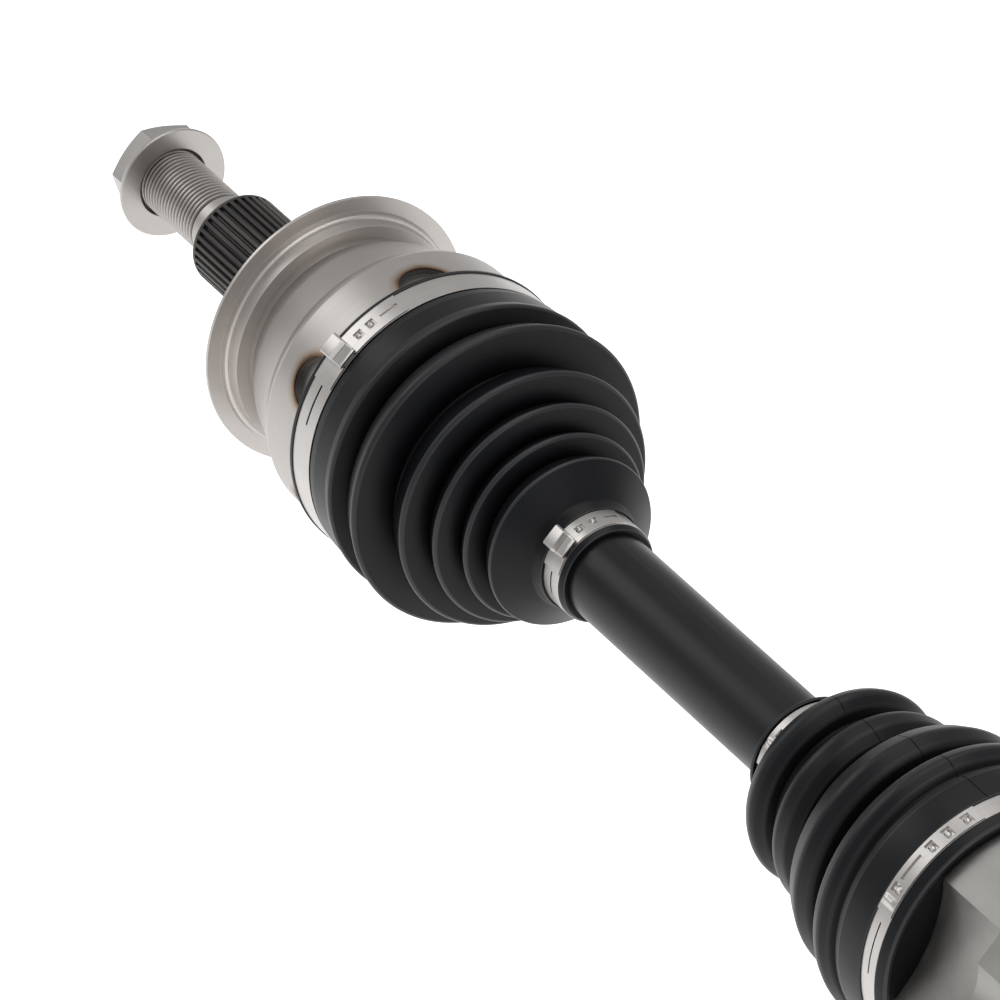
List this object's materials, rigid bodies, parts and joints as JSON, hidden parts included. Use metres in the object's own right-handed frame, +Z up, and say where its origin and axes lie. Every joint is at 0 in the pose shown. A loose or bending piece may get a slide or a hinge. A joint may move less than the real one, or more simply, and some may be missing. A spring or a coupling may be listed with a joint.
{
  "type": "cv axle",
  "caption": "Drive axle with an outer ball joint, a bar and an inner tripod joint under rubber boots.",
  "frame": {"origin": "on the axle's axis, halfway along the overall length", "axes": "+X along the axle towards the gearbox end, +Z up, with the first tripod arm 7 degrees from +Z towards -Y"},
  "size_m": [0.691, 0.1126, 0.1126],
  "materials": {
    "machined_steel": "satin, fine turned lines",
    "zinc_steel": "satin zinc",
    "ground_steel": "ground and polished",
    "black_bar": "satin black paint",
    "boot_rubber": "satin moulded",
    "stainless": "bright rolled strip",
    "spring_steel": "oiled black"
  },
  "bodies": {
    "shaft": {"shaft": "black_bar", "outer_inner_race": "ground_steel", "outer_race_circlip": "spring_steel", "outer_race_stop_ring": "spring_steel", "outer_boot": "boot_rubber", "outer_boot_clamp_small": "stainless", "inner_boot": "boot_rubber", "inner_boot_clamp_small": "stainless", "tripod_spider": "ground_steel", "needles_top": "ground_steel", "needles_left": "ground_steel", "needles_right": "ground_steel", "needle_washers": "spring_steel", "roller_snap_rings": "spring_steel", "spider_circlips": "spring_steel"},
    "outer_cage": {"outer_cage": "ground_steel", "outer_balls": "ground_steel"},
    "outer_housing": {"outer_housing": "machined_steel", "dust_shield": "zinc_steel", "outer_boot_clamp_large": "stainless"},
    "axle_nut": {"axle_nut": "zinc_steel"},
    "roller_top": {"roller_top": "ground_steel"},
    "roller_left": {"roller_left": "ground_steel"},
    "roller_right": {"roller_right": "ground_steel"},
    "inner_housing": {"inner_housing": "machined_steel", "inner_boot_bushing": "boot_rubber", "inner_boot_clamp_large": "stainless", "inner_stub_circlip": "spring_steel"}
  },
  "joints": [
    {"name": "outer_bend", "type": "hinge", "parent": "shaft", "child": "outer_housing", "pos_m": [-0.1635, 0, 0], "axis": [0, 0, 1], "range_deg": [-45, 45], "deforming": ["outer_boot"]},
    {"name": "cage_bend", "type": "hinge", "parent": "shaft", "child": "outer_cage", "pos_m": [-0.1635, 0, 0], "axis": [0, 0, 1], "range_deg": [-22.5, 22.5]},
    {"name": "nut_turn", "type": "hinge", "parent": "outer_housing", "child": "axle_nut", "pos_m": [-0.335, 0, 0], "axis": [1, 0, 0], "continuous": true},
    {"name": "inner_bend", "type": "hinge", "parent": "shaft", "child": "roller_top", "pos_m": [0.2105, 0, 0], "axis": [0, -0.1219, 0.9925], "range_deg": [-18, 18], "deforming": ["inner_boot"]},
    {"name": "inner_plunge", "type": "slide", "parent": "roller_top", "child": "inner_housing", "axis": [1, 0, 0], "range_m": [-0.02, 0.015], "deforming": ["inner_boot"]},
    {"name": "roller_left_roll", "type": "hinge", "parent": "shaft", "child": "roller_left", "pos_m": [0.2105, 0, 0], "axis": [0, -0.7986, -0.6018], "range_deg": [-75, 75]},
    {"name": "roller_right_roll", "type": "hinge", "parent": "shaft", "child": "roller_right", "pos_m": [0.2105, 0, 0], "axis": [0, 0.9205, -0.3907], "range_deg": [-75, 75]}
  ],
  "couplings": [
    {"joint": "cage_bend", "follows": "outer_bend", "ratio": 0.5},
    {"joint": "roller_left_roll", "follows": "inner_plunge", "rad_per_m": 64.516},
    {"joint": "roller_right_roll", "follows": "inner_plunge", "rad_per_m": 64.516}
  ]
}
